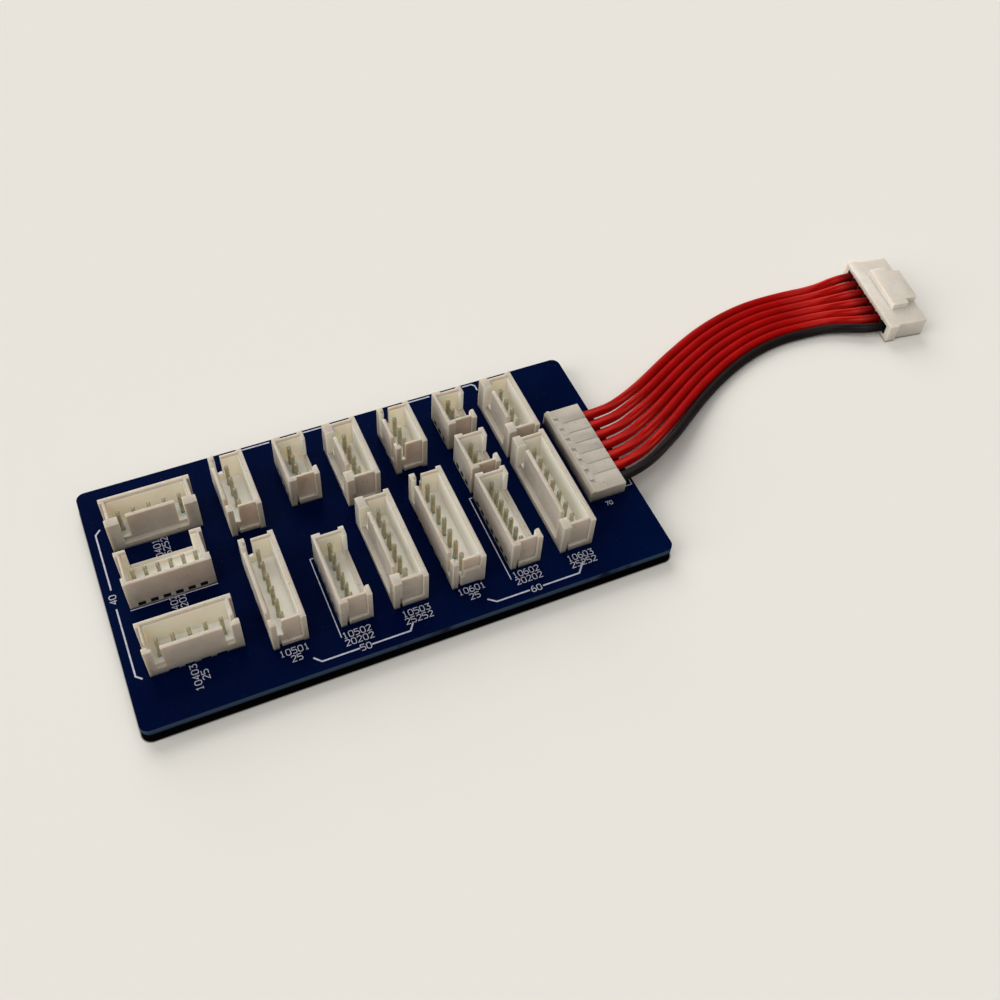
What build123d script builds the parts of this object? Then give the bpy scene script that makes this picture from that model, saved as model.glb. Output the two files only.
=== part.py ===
from build123d import *
from dataclasses import dataclass, replace
import math
import os

# Bare board, and the tails that it stands on
board_length = 90.8
board_width = 47.4
board_thickness = 1.6
board_corner_radius = 1.5
tail_reach = 1.7

# Square pins, their holes and their solder
pin_size = 0.64
pin_tip_chamfer = 0.15
pin_fit = 0.02
hole_clearance = 0.1
hole_sides = 8
solder_height = 0.9
solder_pad_width = 1.9
solder_tip_width = 1.1
solder_sides = 6

# Features that the shrouded headers share
slot_width = 1.3
slot_floor = 1.9
corner_post_width = 1.0
foot_notch_width = 0.45
foot_notch_height = 2.9
foot_notch_depth = 0.6
end_slot_width = 0.95
end_recess_depth = 0.5
end_recess_sill = 1.4
high_recess_sill = 4.4
end_recess_corner = 0.9
foot_gap_width = 1.5
foot_gap_height = 0.4
foot_gap_depth = 0.8
window_width = 1.2
window_depth = 1.6
window_height = 0.9
window_sill = 0.35
low_wall_height = 2.6
tower_length = 1.9
step_depth = 0.95
step_block_length = 2.2
step_sill = 1.4
slotted_block_length = 1.4
lead_in_chamfer = 0.3

# Moulded shrouds of the three kinds
coarse_pitch = 2.5
fine_pitch = 2.0
shroud_height = 7.0
slotted_width = 5.75
slotted_end = 2.45
slotted_wall = 0.8
fine_width = 5.4
wide_fine_width = 6.6
fine_end = 2.0
fine_wall = 0.75
stepped_width = 5.9
stepped_end = 3.0
short_stepped_end = 2.45
stepped_wall = 0.85
end_wall = 1.1
stepped_end_wall = 1.2
shroud_floor = 1.5
fine_floor = 1.6
slotted_pin_shift = -0.4
fine_pin_shift = -0.3
stepped_pin_shift = 0.1
pin_drop = 0.9
fine_pin_drop = 1.1

# Layout on the board: margins, and how far each gap is from the even one
left_margin = 3.55
column_gap_changes = [-0.3, 1.2, -0.6, 0.05, 0.55, -0.35, -0.55]
row_gap = 1.1
row_shift = 0.3
stack_near_margin = 8.7
stack_far_margin = 8.0
stack_gap_changes = [1.0, -1.0]

# Low wire housing at the right edge
ways = 7
wire_pitch = 2.5
housing_depth = 6.7
housing_height = 2.7
housing_end = 2.25
housing_edge_gap = 2.6
housing_chamfer = 0.45
contact_leg_inset = 1.3
contact_shaft_clearance = 0.12
contact_tongue_width = 1.1
contact_tongue_height = 0.5
housing_rim_width = 0.85
housing_rim_height = 0.3
groove_width = 0.4
groove_depth = 0.1
dimple_depth = 0.25
groove_inset = 2.2

# Wires
wire_diameter = 1.8
wire_seat = 0.8
wire_seat_clearance = 0.15

# Plug at the far end
plug_depth = 8.4
plug_end = 2.4
plug_thickness = 4.2
plug_flange_depth = 2.0
plug_flange_reach = 0.5
plug_rib_height = 1.4
plug_rib_inset = 4.6
plug_rib_step = 1.3
plug_rib_step_depth = 3.4
plug_groove_width = 0.5
plug_socket_width = 1.7
plug_socket_height = 2.1
plug_contact_clearance = 0.1
plug_contact_bore = 0.8
plug_contact_setback = 0.6
plug_window_width = 1.1
plug_window_length = 1.8
plug_window_setback = 3.0
plug_place = (113.1, 16.6)
plug_heading = -8.0

# Ribbon of wires: middle line (x, y, z) and the spacing of the wires at each point
wire_exit_run = 5.1
wire_entry_run = 3.7
arc_share = 0.45
ribbon_route = [
    (54.5, 3.7, 3.65, 2.1),
    (61.3, 8.0, 2.1, 1.9),
    (69.5, 13.0, 1.1, 1.84),
    (79.0, 17.3, 0.98, 1.84),
    (88.6, 19.6, 0.98, 1.84),
    (97.2, 19.5, 1.05, 1.84),
    (103.8, 18.5, 1.4, 1.86),
]

left = -board_length / 2
near = -board_width / 2
far = board_width / 2
board_bottom = tail_reach
board_top = board_bottom + board_thickness
tail_length = board_thickness + tail_reach
hole_diameter = pin_size * math.sqrt(2) + 2 * hole_clearance
housing_length = (ways - 1) * wire_pitch + 2 * housing_end
wire_height = housing_height / 2
plug_length = (ways - 1) * wire_pitch + 2 * plug_end
plug_wire_height = plug_thickness / 2


@dataclass(frozen=True)
class HeaderKind:
    style: str
    pitch: float
    end: float
    width: float
    height: float
    wall: float
    end_wall: float
    floor: float
    pin_shift: float
    pin_drop: float


slotted = HeaderKind(
    style="slotted",
    pitch=coarse_pitch,
    end=slotted_end,
    width=slotted_width,
    height=shroud_height,
    wall=slotted_wall,
    end_wall=end_wall,
    floor=shroud_floor,
    pin_shift=slotted_pin_shift,
    pin_drop=pin_drop,
)
fine = HeaderKind(
    style="fine",
    pitch=fine_pitch,
    end=fine_end,
    width=fine_width,
    height=shroud_height,
    wall=fine_wall,
    end_wall=end_wall,
    floor=fine_floor,
    pin_shift=fine_pin_shift,
    pin_drop=fine_pin_drop,
)
stepped = HeaderKind(
    style="stepped",
    pitch=coarse_pitch,
    end=stepped_end,
    width=stepped_width,
    height=shroud_height,
    wall=stepped_wall,
    end_wall=stepped_end_wall,
    floor=shroud_floor,
    pin_shift=stepped_pin_shift,
    pin_drop=pin_drop,
)
wide_fine = replace(fine, width=wide_fine_width)
short_stepped = replace(stepped, end=short_stepped_end)


@dataclass(frozen=True)
class Header:
    name: str
    kind: HeaderKind
    pins: int
    x: float
    y: float
    turn: float
    recess_sill: float = end_recess_sill

    @property
    def place(self):
        return Pos(self.x, self.y, board_top) * Rot(0, 0, self.turn)


def kind_length(kind, pins):
    return (pins - 1) * kind.pitch + 2 * kind.end


def laid_out(start, end, sizes, gap_changes):
    """Middles of things laid out from start to end, with even gaps that are each changed a little."""
    even_gap = (end - start - sum(sizes)) / len(gap_changes)
    middles = []
    for size, change in zip(sizes, gap_changes + [0]):
        middles.append(start + size / 2)
        start += size + even_gap + change
    return middles


stack_kinds = [slotted, wide_fine, short_stepped]
stack_pins = [5, 6, 5]
stack_length = max(kind_length(kind, pins) for kind, pins in zip(stack_kinds, stack_pins))
stack_places = laid_out(
    near + stack_near_margin,
    far - stack_far_margin,
    [kind.width for kind in stack_kinds],
    stack_gap_changes,
)
column_kinds = [slotted, fine, stepped, slotted, fine, stepped]
column_places = laid_out(
    left + left_margin,
    left + board_length - housing_edge_gap,
    [stack_length] + [kind.width for kind in column_kinds] + [housing_depth],
    column_gap_changes,
)[1:]
housing_back = column_places.pop() - housing_depth / 2
deepest_column = kind_length(stepped, 7) + row_gap + kind_length(stepped, 4)
row_margin = (board_width - deepest_column) / 2
near_start = near + row_margin + row_shift
far_end = far - row_margin + row_shift


def stacked(name, place):
    """A header of the stack at the left, its long axis along the board."""
    kind = stack_kinds[place]
    pins = stack_pins[place]
    x = left + left_margin + kind_length(kind, pins) / 2
    return Header(name, kind, pins, x, stack_places[place], 90)


def near_row(name, pins, column, recess_sill=end_recess_sill):
    """A header in the row along the near edge, its long axis across the board."""
    kind = column_kinds[column]
    y = near_start + kind_length(kind, pins) / 2
    return Header(name, kind, pins, column_places[column], y, 0, recess_sill)


def far_row(name, pins, column):
    """A header in the row along the far edge."""
    kind = column_kinds[column]
    y = far_end - kind_length(kind, pins) / 2
    return Header(name, kind, pins, column_places[column], y, 0)


def behind(name, pins, column, front_pins):
    """A header that stands close behind the near row's header of its column."""
    kind = column_kinds[column]
    y = near_start + kind_length(kind, front_pins) + row_gap + kind_length(kind, pins) / 2
    return Header(name, kind, pins, column_places[column], y, 0)


headers = [
    stacked("4cell_slotted", 0),
    stacked("4cell_fine", 1),
    stacked("4cell_stepped", 2),
    near_row("5cell_slotted", 6, 0),
    near_row("5cell_fine", 6, 1),
    near_row("5cell_stepped", 6, 2),
    near_row("6cell_slotted", 7, 3, high_recess_sill),
    near_row("6cell_fine", 7, 4),
    near_row("6cell_stepped", 7, 5),
    far_row("3cell_slotted", 4, 0),
    far_row("3cell_fine", 4, 1),
    far_row("3cell_stepped", 4, 2),
    far_row("2cell_slotted", 3, 3),
    far_row("2cell_fine", 3, 4),
    behind("2cell_fine_inner", 3, 4, 7),
    far_row("2cell_stepped", 4, 5),
]


def block(x0, x1, y0, y1, z0, z1):
    """A box between two corners."""
    centre = Pos((x0 + x1) / 2, (y0 + y1) / 2, (z0 + z1) / 2)
    return centre * Box(x1 - x0, y1 - y0, z1 - z0)


def pin_places(kind, pins):
    """Middle of each pin in the header's own frame."""
    first = -(pins - 1) * kind.pitch / 2
    return [(kind.pin_shift, first + i * kind.pitch) for i in range(pins)]


def slot_cuts(kind, length, block_length, outer, inner):
    """The two tall slots of the keyed wall, one beside each end block."""
    start = length / 2 - block_length - slot_width
    cuts = []
    for side in (-1, 1):
        y0, y1 = sorted((side * start, side * (start + slot_width)))
        cuts.append(block(outer, inner, y0, y1, slot_floor, kind.height))
    return cuts


def foot_notches(kind, length):
    """The narrow notch low in each end face, beside the post at the keyed wall."""
    x0 = -kind.width / 2 + corner_post_width
    x1 = x0 + foot_notch_width
    cuts = []
    for side in (-1, 1):
        y0, y1 = sorted((side * (length / 2 - foot_notch_depth), side * length / 2))
        cuts.append(block(x0, x1, y0, y1, 0, foot_notch_height))
    return cuts


def end_recesses(kind, length, sill):
    """The shallow recess of each end face, above its base and between its corners."""
    x0 = -kind.width / 2 + corner_post_width + foot_notch_width
    x1 = kind.width / 2 - end_recess_corner
    cuts = []
    for side in (-1, 1):
        y0, y1 = sorted((side * (length / 2 - end_recess_depth), side * length / 2))
        cuts.append(block(x0, x1, y0, y1, sill, kind.height))
    return cuts


def end_slots(kind, length):
    """The slot down each end wall, between the post at the keyed wall and the rest."""
    x0 = -kind.width / 2 + corner_post_width
    x1 = x0 + end_slot_width
    reach = kind.end_wall + lead_in_chamfer
    cuts = []
    for side in (-1, 1):
        y0, y1 = sorted((side * (length / 2 - reach), side * length / 2))
        cuts.append(block(x0, x1, y0, y1, foot_notch_height, kind.height))
    return cuts


def foot_gaps(kind, pins):
    """The low gaps under each end face, and under the keyed wall between its pins."""
    half_length = kind_length(kind, pins) / 2
    outer = -kind.width / 2
    x0 = outer + corner_post_width + foot_notch_width
    x1 = kind.width / 2 - end_recess_corner
    cuts = []
    for side in (-1, 1):
        y0, y1 = sorted((side * (half_length - foot_gap_depth), side * half_length))
        cuts.append(block(x0, x1, y0, y1, 0, foot_gap_height))
    for x, y in pin_places(kind, pins)[:-1]:
        middle = y + kind.pitch / 2
        y0 = middle - foot_gap_width / 2
        y1 = middle + foot_gap_width / 2
        cuts.append(block(outer, outer + foot_gap_depth, y0, y1, 0, foot_gap_height))
    return cuts


def pin_floor_holes(kind, pins):
    half = pin_size / 2 + pin_fit
    hole = block(-half, half, -half, half, 0, kind.floor)
    return [Pos(x, y, 0) * hole for x, y in pin_places(kind, pins)]


def open_shroud(kind, length, keyed_wall):
    """A moulded shroud with its floor, its cavity and a lead-in round the mouth."""
    half_width = kind.width / 2
    half_length = length / 2
    inner_left = -half_width + keyed_wall
    inner_right = half_width - kind.wall
    inner_end = half_length - kind.end_wall
    body = block(-half_width, half_width, -half_length, half_length, 0, kind.height)
    body -= block(inner_left, inner_right, -inner_end, inner_end, kind.floor, kind.height)
    rim = body.faces().sort_by(Axis.Z)[-1]
    mouth = rim.inner_wires()[0]
    return chamfer(mouth.edges(), lead_in_chamfer)


def slotted_shroud(kind, pins):
    length = kind_length(kind, pins)
    outer = -kind.width / 2
    inner = outer + kind.wall + lead_in_chamfer
    cuts = slot_cuts(kind, length, slotted_block_length, outer, inner)
    cuts += end_slots(kind, length) + foot_gaps(kind, pins)
    return open_shroud(kind, length, kind.wall) - cuts


def stepped_shroud(kind, pins):
    """The keyed wall stands back from the outline between its two end blocks."""
    length = kind_length(kind, pins)
    outer = -kind.width / 2
    inner = outer + step_depth + kind.wall + lead_in_chamfer
    step_end = length / 2 - step_block_length
    step = block(outer, outer + step_depth, -step_end, step_end, step_sill, kind.height)
    cuts = slot_cuts(kind, length, step_block_length, outer, inner)
    return open_shroud(kind, length, step_depth + kind.wall) - [step] - cuts


def fine_shroud(kind, pins):
    """One long wall is low between two end towers, and the other has a window at each pin."""
    length = kind_length(kind, pins)
    half_width = kind.width / 2
    tower_face = length / 2 - tower_length
    inner = half_width - kind.wall - lead_in_chamfer
    low_wall = block(inner, half_width, -tower_face, tower_face, low_wall_height, kind.height)
    half_window = window_width / 2
    head = window_sill + window_height
    window = block(-half_width, window_depth - half_width, -half_window, half_window, window_sill, head)
    windows = [Pos(0, y, 0) * window for x, y in pin_places(kind, pins)]
    return open_shroud(kind, length, kind.wall) - [low_wall] - windows


shroud_makers = {"slotted": slotted_shroud, "fine": fine_shroud, "stepped": stepped_shroud}


def make_shroud(header):
    kind = header.kind
    length = kind_length(kind, header.pins)
    shroud = shroud_makers[kind.style](kind, header.pins)
    cuts = foot_notches(kind, length) + end_recesses(kind, length, header.recess_sill)
    return header.place * (shroud - cuts - pin_floor_holes(kind, header.pins))


def make_pin(kind):
    """A square pin with a chamfered tip and a plain tail."""
    half = pin_size / 2
    pin = block(-half, half, -half, half, -tail_length, kind.height - kind.pin_drop)
    return chamfer(pin.faces().sort_by(Axis.Z)[-1].edges(), pin_tip_chamfer)


def make_pins(header):
    pin = make_pin(header.kind)
    places = pin_places(header.kind, header.pins)
    return Compound(children=[header.place * Pos(x, y, 0) * pin for x, y in places])


def header_tail_places(header):
    """Middle of each tail of a header on the board."""
    spots = []
    for x, y in pin_places(header.kind, header.pins):
        spot = (header.place * Pos(x, y, 0)).position
        spots.append((spot.X, spot.Y))
    return spots


def way_offsets():
    return [(i - (ways - 1) / 2) * wire_pitch for i in range(ways)]


def contact_leg_places():
    return [(housing_back + contact_leg_inset, y) for y in way_offsets()]


def tail_places():
    spots = [spot for header in headers for spot in header_tail_places(header)]
    return spots + contact_leg_places()


def make_board():
    outline = RectangleRounded(board_length, board_width, board_corner_radius)
    hole = RegularPolygon(hole_diameter / 2, hole_sides, major_radius=False)
    outline -= [Pos(x, y) * hole for x, y in tail_places()]
    return Pos(0, 0, board_bottom) * extrude(outline, board_thickness)


def ring_of_corners(diameter, sides, z):
    return [Vector(diameter / 2, 0, z).rotate(Axis.Z, 360 * i / sides) for i in range(sides)]


def frustum(sides, upper_width, lower_width, height):
    """A flat-sided solid below z = 0, wide at its upper end and narrow at its lower end."""
    upper = ring_of_corners(upper_width, sides, 0)
    lower = ring_of_corners(lower_width, sides, -height)
    outlines = [upper, lower]
    for i in range(sides):
        j = (i + 1) % sides
        outlines.append([lower[i], lower[j], upper[j], upper[i]])
    return Solid(Shell([Face(Wire.make_polygon(outline)) for outline in outlines]))


def make_solder_joint():
    """Solder round a tail, its wide end on the pad."""
    joint = frustum(solder_sides, solder_pad_width, solder_tip_width, solder_height)
    half = pin_size / 2
    return joint - block(-half, half, -half, half, -solder_height, 0)


def make_solder():
    joint = make_solder_joint()
    return Compound(children=[Pos(x, y, board_bottom) * joint for x, y in tail_places()])


def make_output_housing():
    """A low moulding, in which each wire ends in a contact that turns down through the board."""
    x0 = housing_back
    x1 = x0 + housing_depth
    y1 = housing_length / 2
    top = board_top + housing_height
    rim_x = x0 + housing_rim_width
    body = block(x0, x1, -y1, y1, board_top, top)
    body += block(x0, rim_x, -y1, y1, top, top + housing_rim_height)
    body = chamfer(body.edges().filter_by(Axis.Y).sort_by(Axis.Z)[-2:].sort_by(Axis.X)[0], housing_chamfer)
    shaft = pin_size / 2 + contact_shaft_clearance
    leg_x = x0 + contact_leg_inset
    axis_z = board_top + wire_height
    shaft_top = axis_z + contact_tongue_height / 2 + contact_shaft_clearance
    channel_y = contact_tongue_width / 2 + contact_shaft_clearance
    channel_z = contact_tongue_height / 2 + contact_shaft_clearance
    seat_half = wire_diameter / 2 + wire_seat_clearance
    seat = Box(wire_seat, 2 * seat_half, 2 * seat_half)
    cuts = []
    for y in way_offsets():
        cuts.append(block(leg_x - shaft, leg_x + shaft, y - shaft, y + shaft, board_top, shaft_top))
        cuts.append(block(leg_x - shaft, leg_x + shaft, y - shaft, y + shaft, top - dimple_depth, top))
        z0 = axis_z - channel_z
        z1 = axis_z + channel_z
        cuts.append(block(leg_x - shaft, x1 - wire_seat, y - channel_y, y + channel_y, z0, z1))
        cuts.append(Pos(x1 - wire_seat / 2, y, axis_z) * seat)
    for y in way_offsets()[:-1]:
        groove_y = y + wire_pitch / 2
        half = groove_width / 2
        cuts.append(block(x0 + groove_inset, x1, groove_y - half, groove_y + half, top - groove_depth, top))
    return body - cuts


def make_output_contact():
    """An upright leg with its tail, and a tongue back to the wire's end."""
    half = pin_size / 2
    tongue_y = contact_tongue_width / 2
    tongue_z = contact_tongue_height / 2
    tongue_end = housing_depth - wire_seat - contact_leg_inset
    leg = block(-half, half, -half, half, -tail_length, wire_height + tongue_z)
    tongue = block(0, tongue_end, -tongue_y, tongue_y, wire_height - tongue_z, wire_height + tongue_z)
    return leg + tongue


def make_output_contacts():
    contact = make_output_contact()
    return Compound(children=[Pos(x, y, board_top) * contact for x, y in contact_leg_places()])


plug_frame = Pos(plug_place[0], plug_place[1], 0) * Rot(0, 0, plug_heading)


def plug_ribs():
    """The raised middle of the plug's upper side, wider behind than in front."""
    wide = plug_length / 2 - plug_rib_inset
    narrow = wide - plug_rib_step
    top = plug_thickness + plug_rib_height
    back = plug_flange_depth + plug_groove_width
    behind = block(back, back + plug_rib_step_depth, -wide, wide, plug_thickness, top)
    front = block(back + plug_rib_step_depth, plug_depth, -narrow, narrow, plug_thickness, top)
    return behind + front


def make_plug_housing():
    """A body with a flange behind, a cavity for each contact and a catch window under it."""
    half_length = plug_length / 2
    body_half = half_length - plug_flange_reach
    body = block(0, plug_depth, -body_half, body_half, 0, plug_thickness)
    body += block(0, plug_flange_depth, -half_length, half_length, 0, plug_thickness)
    body += plug_ribs()
    seat_half = wire_diameter / 2 + wire_seat_clearance
    seat = Box(wire_seat, 2 * seat_half, 2 * seat_half)
    half_w = plug_socket_width / 2
    half_h = plug_socket_height / 2
    window_x1 = plug_depth - plug_window_setback
    window_x0 = window_x1 - plug_window_length
    cuts = []
    for y in way_offsets():
        z0 = plug_wire_height - half_h
        cuts.append(Pos(wire_seat / 2, y, plug_wire_height) * seat)
        cuts.append(block(wire_seat, plug_depth, y - half_w, y + half_w, z0, z0 + plug_socket_height))
        window_y = plug_window_width / 2
        cuts.append(block(window_x0, window_x1, y - window_y, y + window_y, 0, z0))
    return plug_frame * (body - cuts)


def make_plug_contact():
    """A folded box that takes a pin from the front and holds the wire behind."""
    half_w = plug_socket_width / 2 - plug_contact_clearance
    half_h = plug_socket_height / 2 - plug_contact_clearance
    front = plug_depth - plug_contact_setback
    bore = plug_contact_bore / 2
    tube = block(wire_seat, front, -half_w, half_w, -half_h, half_h)
    return tube - block((wire_seat + front) / 2, front, -bore, bore, -bore, bore)


def make_plug_contacts():
    contact = make_plug_contact()
    places = [Pos(0, y, plug_wire_height) for y in way_offsets()]
    return Compound(children=[plug_frame * place * contact for place in places])


def straight_out(offset):
    """The wire's two points that leave the board's housing squarely."""
    seat_x = housing_back + housing_depth - wire_seat
    height = board_top + wire_height
    return [Vector(seat_x, offset, height), Vector(seat_x + wire_exit_run, offset, height)]


def straight_in(offset):
    """The wire's two points that enter the plug squarely."""
    before = (plug_frame * Pos(wire_seat - wire_entry_run, offset, plug_wire_height)).position
    seat = (plug_frame * Pos(wire_seat, offset, plug_wire_height)).position
    return [before, seat]


def wire_route(way):
    """The ribbon's middle line, moved sideways by the wire's place in the ribbon."""
    rank = way - (ways - 1) / 2
    line = [Vector(x, y) for x, y, z, spacing in ribbon_route]
    line = straight_out(0)[-1:] + line + straight_in(0)[:1]
    points = straight_out(rank * wire_pitch)
    for i, (x, y, z, spacing) in enumerate(ribbon_route):
        ahead = line[i + 2] - line[i]
        side = Vector(-ahead.Y, ahead.X).normalized()
        points.append(Vector(x, y, z) + side * rank * spacing)
    return points + straight_in(rank * wire_pitch)


def bend_radii(points):
    """The largest arc at each corner that leaves a little straight between arcs."""
    radii = []
    for before, corner, after in zip(points, points[1:], points[2:]):
        turn = (corner - before).get_angle(after - corner)
        shorter = min((corner - before).length, (after - corner).length)
        radii.append(arc_share * shorter / math.tan(math.radians(turn) / 2))
    return radii


def make_wire(way):
    points = wire_route(way)
    radii = bend_radii(points)
    path = FilletPolyline(*points, radius=radii)
    section = Plane(origin=path @ 0, z_dir=path % 0) * Circle(wire_diameter / 2)
    tube = sweep(section, path=path)
    expected = math.pi * wire_diameter**2 / 4 * path.length
    print(f"wire {way + 1} length {path.length:.1f} volume ratio {tube.volume / expected:.4f}")
    print("  radii", " ".join(f"{r:.1f}" for r in radii))
    return tube


def wire_name(way):
    return "wire_black" if way == 0 else f"wire_red_{way}"


def make_parts():
    parts = {"board": make_board(), "solder_joints": make_solder()}
    for header in headers:
        parts["header_" + header.name] = make_shroud(header)
        parts["pins_" + header.name] = make_pins(header)
    parts["output_housing"] = make_output_housing()
    parts["output_contacts"] = make_output_contacts()
    for way in range(ways):
        parts[wire_name(way)] = make_wire(way)
    parts["plug_housing"] = make_plug_housing()
    parts["plug_contacts"] = make_plug_contacts()
    return parts


os.makedirs("parts", exist_ok=True)
for name, shape in make_parts().items():
    export_step(shape, f"parts/{name}.step")
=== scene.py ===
import math

import bmesh
import bpy
import numpy as np
from mathutils import Matrix, Vector


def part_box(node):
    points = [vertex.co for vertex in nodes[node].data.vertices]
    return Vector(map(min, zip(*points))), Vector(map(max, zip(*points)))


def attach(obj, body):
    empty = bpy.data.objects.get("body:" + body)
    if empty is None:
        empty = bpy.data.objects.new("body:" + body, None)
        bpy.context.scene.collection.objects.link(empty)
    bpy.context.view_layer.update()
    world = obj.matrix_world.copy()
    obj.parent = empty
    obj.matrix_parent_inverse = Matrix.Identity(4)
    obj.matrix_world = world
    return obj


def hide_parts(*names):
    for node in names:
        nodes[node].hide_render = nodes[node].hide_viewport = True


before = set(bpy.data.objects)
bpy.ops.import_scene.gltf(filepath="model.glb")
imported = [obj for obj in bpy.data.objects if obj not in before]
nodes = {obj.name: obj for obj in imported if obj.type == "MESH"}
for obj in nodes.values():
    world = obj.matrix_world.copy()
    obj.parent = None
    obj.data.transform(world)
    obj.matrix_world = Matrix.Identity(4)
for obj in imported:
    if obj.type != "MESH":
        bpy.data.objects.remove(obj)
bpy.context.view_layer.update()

# Sizes are in millimetres, in the frame of the solids, and become metres where a mesh is made

mm = 0.001
board_low, board_high = np.round(np.array(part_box("board")) / mm, 3)
board_left, board_near, board_bottom = board_low
board_top = board_high[2]
board_corner = 1.5


# Camera: the place, direction and lens that the photograph gives

camera_place = (-34.87, -109.51, 163.27)
camera_ahead = (0.2826, 0.5300, -0.7996)
camera_up = (0.2918, 0.7466, 0.5981)
camera_lens = 41.47
camera_sensor = 36
nearest_seen = 5


def make_camera():
    """A camera that looks along camera_ahead, with its right side square to camera_up."""
    ahead = Vector(camera_ahead).normalized()
    right = ahead.cross(Vector(camera_up).normalized()).normalized()
    up = right.cross(ahead)
    camera = bpy.data.objects.new("camera", bpy.data.cameras.new("camera"))
    camera.data.sensor_width = camera_sensor
    camera.data.lens = camera_lens
    camera.data.clip_start = nearest_seen * mm
    turn = Matrix((right, up, -ahead)).transposed().to_4x4()
    camera.matrix_world = Matrix.Translation(Vector(camera_place) * mm) @ turn
    bpy.context.collection.objects.link(camera)
    bpy.context.scene.camera = camera


make_camera()


# Mesh helpers

def finished(name, vertices, faces, material=None, smooth=True):
    """An object at the origin whose mesh holds the vertices, given in millimetres."""
    mesh = bpy.data.meshes.new(name)
    mesh.from_pydata(np.asarray(vertices, dtype=float) * mm, [], faces)
    if smooth:
        mesh.shade_smooth()
    else:
        mesh.shade_flat()
    mesh.validate()
    piece = bpy.data.objects.new(name, mesh)
    bpy.context.collection.objects.link(piece)
    if material:
        mesh.materials.append(material)
    return piece


def outward(piece):
    """Turn every face of a closed mesh outwards."""
    work = bmesh.new()
    work.from_mesh(piece.data)
    bmesh.ops.recalc_face_normals(work, faces=work.faces)
    work.to_mesh(piece.data)
    work.free()


def rows(items, kind):
    """The vector called co, center or normal of each of a mesh's items, as the rows of an array."""
    values = np.empty(len(items) * 3)
    items.foreach_get(kind, values)
    return values.reshape(-1, 3)


def ring_faces(rings, sides):
    """Faces of a solid made of rings of points, numbered ring by ring: four-sided ones between
    neighbouring rings, and one over the first ring and one over the last."""
    ring, side = np.meshgrid(np.arange(rings - 1), np.arange(sides), indexing="ij")
    here = ring * sides + side
    beside = ring * sides + (side + 1) % sides
    quads = np.stack([here, here + sides, beside + sides, beside], axis=-1)
    last = (rings - 1) * sides
    return quads.reshape(-1, 4).tolist() + [list(range(sides)), list(range(last, last + sides))]


def carried(profile, path):
    """A flat path's solid strip: the profile (across, up) is set at each point of the path (x, y),
    square to the mean of the two runs that meet there. At a corner it is widened by one over the
    cosine of half the turn, to twice its width at most."""
    path = np.asarray(path, dtype=float)
    profile = np.asarray(profile, dtype=float)
    runs = np.diff(path, axis=0)
    runs /= np.linalg.norm(runs, axis=1, keepdims=True)
    before = np.vstack([runs[:1], runs])
    after = np.vstack([runs, runs[-1:]])
    middle = before + after
    middle /= np.linalg.norm(middle, axis=1, keepdims=True)
    widening = 1 / np.maximum(0.5, np.sum(middle * after, axis=1))
    across = np.stack([middle[:, 1], -middle[:, 0]], axis=1) * widening[:, None]
    flat = path[:, None, :] + across[:, None, :] * profile[None, :, 0, None]
    heights = np.broadcast_to(profile[None, :, 1, None], flat.shape[:2] + (1,))
    points = np.concatenate([flat, heights], axis=2)
    return points.reshape(-1, 3), ring_faces(len(path), len(profile))


def joined(shapes):
    """Several lists of points and faces as one."""
    vertices, faces = [], []
    start = 0
    for points, corners in shapes:
        vertices.append(points)
        faces += [[start + corner for corner in face] for face in corners]
        start += len(points)
    return np.vstack(vertices), faces


# Cords: the seven wires, each a tube along the spline of its route's control points

wire_width = 1.8
wire_pitch = 2.5
wire_sides = 20
plug_place = (113.1, 16.6)
plug_turn = math.radians(-8)
plug_height = 2.1
run_to_plug = 2.9
run_in_plug = 0.8
seat_x = 42.0
exit_height = 4.65

# Each wire's real length, by its rank in the ribbon, and the usual length of the drawn tubes
wire_lengths = {-3: 77.4, -2: 77.2, -1: 77.1, 0: 77.0, 1: 77.0, 2: 77.0, 3: 77.1}
tube_length = 77.2

# The ribbon's middle line: x, y, height and the wires' spacing at each control point
middle_line = [
    (47.1, 0.0, 4.65, 2.5),
    (54.5, 3.7, 3.65, 2.1),
    (61.3, 8.0, 2.1, 1.9),
    (69.5, 13.0, 1.1, 1.84),
    (79.0, 17.3, 0.98, 1.84),
    (88.6, 19.6, 0.98, 1.84),
    (97.2, 19.5, 1.05, 1.84),
    (103.8, 18.5, 1.4, 1.86),
]


def in_plug(u, v, z):
    """A point of the plug's own frame: u towards its mouth and v across it."""
    c, s = math.cos(plug_turn), math.sin(plug_turn)
    return (plug_place[0] + c * u - s * v, plug_place[1] + s * u + c * v, z)


def wire_points(rank):
    """The ribbon's middle line, moved sideways by the wire's rank times the spacing there. The wire
    leaves its seat straight, at the housing's pitch, and enters the plug straight."""
    offset = rank * wire_pitch
    line = [point[:2] for point in middle_line] + [in_plug(-run_to_plug, 0, 0)[:2]]
    points = [(seat_x, offset, exit_height), (middle_line[0][0], offset, exit_height)]
    for i in range(1, len(middle_line)):
        x, y, z, spacing = middle_line[i]
        along = Vector(line[i + 1]) - Vector(line[i - 1])
        side = Vector((-along.y, along.x)).normalized() * rank * spacing
        points.append((x + side.x, y + side.y, z))
    points.append(in_plug(-run_to_plug, offset, plug_height))
    points.append(in_plug(run_in_plug, offset, plug_height))
    return points


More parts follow.
